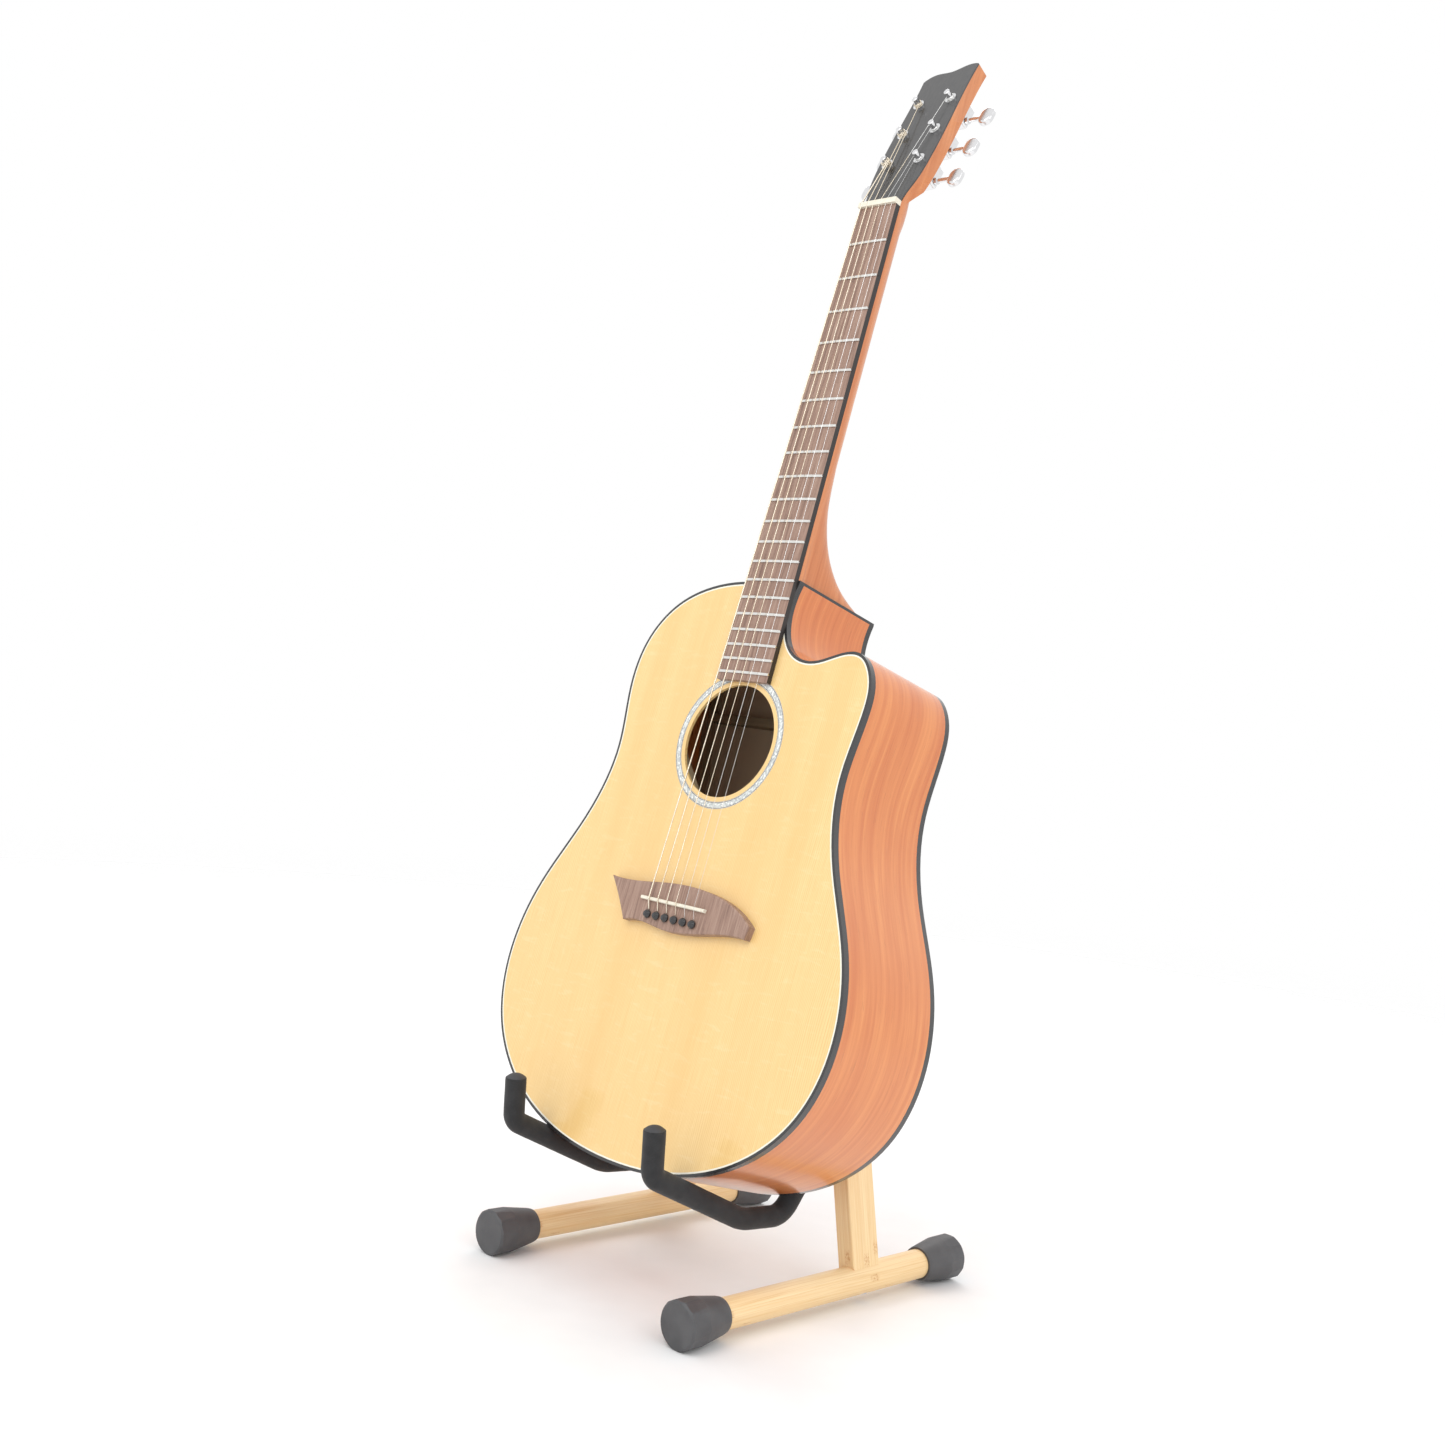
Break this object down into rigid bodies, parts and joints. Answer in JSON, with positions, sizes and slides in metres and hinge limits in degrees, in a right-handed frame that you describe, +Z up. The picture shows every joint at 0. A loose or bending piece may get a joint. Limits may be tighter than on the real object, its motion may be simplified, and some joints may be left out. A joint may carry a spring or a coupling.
{
  "type": "guitar on stand",
  "caption": "Acoustic guitar with a cutaway body leaning on a folding bamboo A-frame floor stand with foam-covered cradle arms.",
  "frame": {"origin": "on the floor, under the middle of the whole object", "axes": "+Z up, -Y is the front that the strings face, +X is the treble side of the guitar"},
  "size_m": [0.3922, 0.3656, 1.1057],
  "materials": {
    "bamboo_leg": "satin laminated bamboo, vertical strips",
    "bamboo_tube": "satin round bamboo dowel",
    "cap_rubber": "matte moulded rubber",
    "pad_rubber": "matte soft rubber",
    "foam": "fine-celled foam sleeve",
    "zinc_steel": "zinc-plated steel",
    "nickel_steel": "bright nickel-plated pressed steel",
    "knob_plastic": "moulded black plastic",
    "spruce": "gloss lacquered spruce",
    "mahogany": "gloss lacquered mahogany",
    "neck_mahogany": "satin lacquered mahogany",
    "lining_wood": "raw basswood",
    "brace_spruce": "raw spruce",
    "black_binding": "gloss black binding",
    "rosette_mosaic": "grey shell mosaic",
    "rosewood": "open-pored rosewood",
    "bone": "polished bone",
    "pin_plastic": "polished black plastic",
    "fret_metal": "polished nickel silver",
    "black_veneer": "gloss black headstock veneer",
    "chrome": "polished chrome",
    "string_metal": "wound bronze and plain steel"
  },
  "bodies": {
    "left_frame": {"left_leg": "bamboo_leg", "left_base_tube": "bamboo_tube", "left_leg_bolt": "zinc_steel", "left_foot_caps": "cap_rubber", "left_top_pad": "pad_rubber", "left_hinge_leaf": "nickel_steel", "left_hinge_rivets": "nickel_steel", "hinge_pin": "zinc_steel", "stay_left_screw": "nickel_steel"},
    "right_frame": {"right_leg": "bamboo_leg", "right_base_tube": "bamboo_tube", "right_leg_bolt": "zinc_steel", "right_foot_caps": "cap_rubber", "right_top_pad": "pad_rubber", "right_hinge_leaf": "nickel_steel", "right_hinge_rivets": "nickel_steel", "stay_right_screw": "nickel_steel"},
    "left_stay": {"stay_left_arm": "nickel_steel", "stay_disc": "nickel_steel"},
    "right_stay": {"stay_right_arm": "nickel_steel"},
    "left_arm": {"left_arm_rod": "zinc_steel", "left_arm_sleeve": "foam"},
    "right_arm": {"right_arm_rod": "zinc_steel", "right_arm_sleeve": "foam"},
    "left_wing_knob": {"left_knob": "knob_plastic"},
    "right_wing_knob": {"right_knob": "knob_plastic"},
    "guitar": {"soundboard": "spruce", "sides": "mahogany", "back": "mahogany", "linings": "lining_wood", "end_blocks": "lining_wood", "braces": "brace_spruce", "top_binding": "black_binding", "back_binding": "black_binding", "rosette": "rosette_mosaic", "bridge": "rosewood", "saddle": "bone", "bridge_pins": "pin_plastic", "end_pin": "pin_plastic", "neck": "neck_mahogany", "truss_rod": "zinc_steel", "heel_trim": "black_binding", "fretboard": "rosewood", "frets": "fret_metal", "nut": "bone", "headstock_veneer": "black_veneer", "tuner_housings": "chrome", "strings": "string_metal", "tuner_post_1": "chrome", "tuner_post_2": "chrome", "tuner_post_3": "chrome", "tuner_post_4": "chrome", "tuner_post_5": "chrome", "tuner_post_6": "chrome"},
    "tuner_button_1": {"tuner_button_1": "chrome"},
    "tuner_button_2": {"tuner_button_2": "chrome"},
    "tuner_button_3": {"tuner_button_3": "chrome"},
    "tuner_button_4": {"tuner_button_4": "chrome"},
    "tuner_button_5": {"tuner_button_5": "chrome"},
    "tuner_button_6": {"tuner_button_6": "chrome"}
  },
  "joints": [
    {"name": "guitar_lift", "type": "slide", "parent": "left_frame", "child": "guitar", "axis": [0, 0.1815, 0.9834], "range_m": [0, 0.42]},
    {"name": "stand_fold", "type": "hinge", "parent": "left_frame", "child": "right_frame", "pos_m": [0, 0.07614, 0.39288], "axis": [0, 0.9988, -0.049], "range_deg": [0, 28.05]},
    {"name": "left_stay_swing", "type": "hinge", "parent": "left_frame", "child": "left_stay", "pos_m": [-0.0608, 0.0676, 0.21888], "axis": [0, -0.9988, 0.049], "range_deg": [0, 41.85]},
    {"name": "right_stay_swing", "type": "hinge", "parent": "right_frame", "child": "right_stay", "pos_m": [0.0608, 0.0676, 0.21888], "axis": [0, 0.9988, -0.049], "range_deg": [0, 41.85]},
    {"name": "left_arm_swivel", "type": "hinge", "parent": "left_frame", "child": "left_arm", "pos_m": [-0.0856, 0.04623, 0.13227], "axis": [0, 0.9988, -0.049], "range_deg": [0, 25.05]},
    {"name": "right_arm_swivel", "type": "hinge", "parent": "right_frame", "child": "right_arm", "pos_m": [0.0856, 0.04623, 0.13227], "axis": [0, -0.9988, 0.049], "range_deg": [0, 25.05]},
    {"name": "left_knob_turn", "type": "hinge", "parent": "left_arm", "child": "left_wing_knob", "pos_m": [-0.0856, 0.04623, 0.13227], "axis": [0, 0.9988, -0.049], "continuous": true},
    {"name": "right_knob_turn", "type": "hinge", "parent": "right_arm", "child": "right_wing_knob", "pos_m": [0.0856, 0.04623, 0.13227], "axis": [0, 0.9988, -0.049], "continuous": true},
    {"name": "tuner_button_1_turn", "type": "hinge", "parent": "guitar", "child": "tuner_button_1", "pos_m": [-0.0185, 0.10424, 0.98336], "axis": [-1, 0, 0], "continuous": true},
    {"name": "tuner_button_2_turn", "type": "hinge", "parent": "guitar", "child": "tuner_button_2", "pos_m": [-0.0185, 0.12147, 1.0161], "axis": [-1, 0, 0], "continuous": true},
    {"name": "tuner_button_3_turn", "type": "hinge", "parent": "guitar", "child": "tuner_button_3", "pos_m": [-0.0185, 0.13917, 1.04973], "axis": [-1, 0, 0], "continuous": true},
    {"name": "tuner_button_4_turn", "type": "hinge", "parent": "guitar", "child": "tuner_button_4", "pos_m": [0.0185, 0.13917, 1.04973], "axis": [1, 0, 0], "continuous": true},
    {"name": "tuner_button_5_turn", "type": "hinge", "parent": "guitar", "child": "tuner_button_5", "pos_m": [0.0185, 0.12147, 1.0161], "axis": [1, 0, 0], "continuous": true},
    {"name": "tuner_button_6_turn", "type": "hinge", "parent": "guitar", "child": "tuner_button_6", "pos_m": [0.0185, 0.10424, 0.98336], "axis": [1, 0, 0], "continuous": true}
  ],
  "couplings": [
    {"joint": "stand_fold", "follows": "guitar_lift", "rad_per_m": 1.1636},
    {"joint": "left_stay_swing", "follows": "guitar_lift", "rad_per_m": 1.737},
    {"joint": "right_stay_swing", "follows": "guitar_lift", "rad_per_m": 1.737},
    {"joint": "left_arm_swivel", "follows": "guitar_lift", "rad_per_m": 1.0389},
    {"joint": "right_arm_swivel", "follows": "guitar_lift", "rad_per_m": 1.0389}
  ]
}
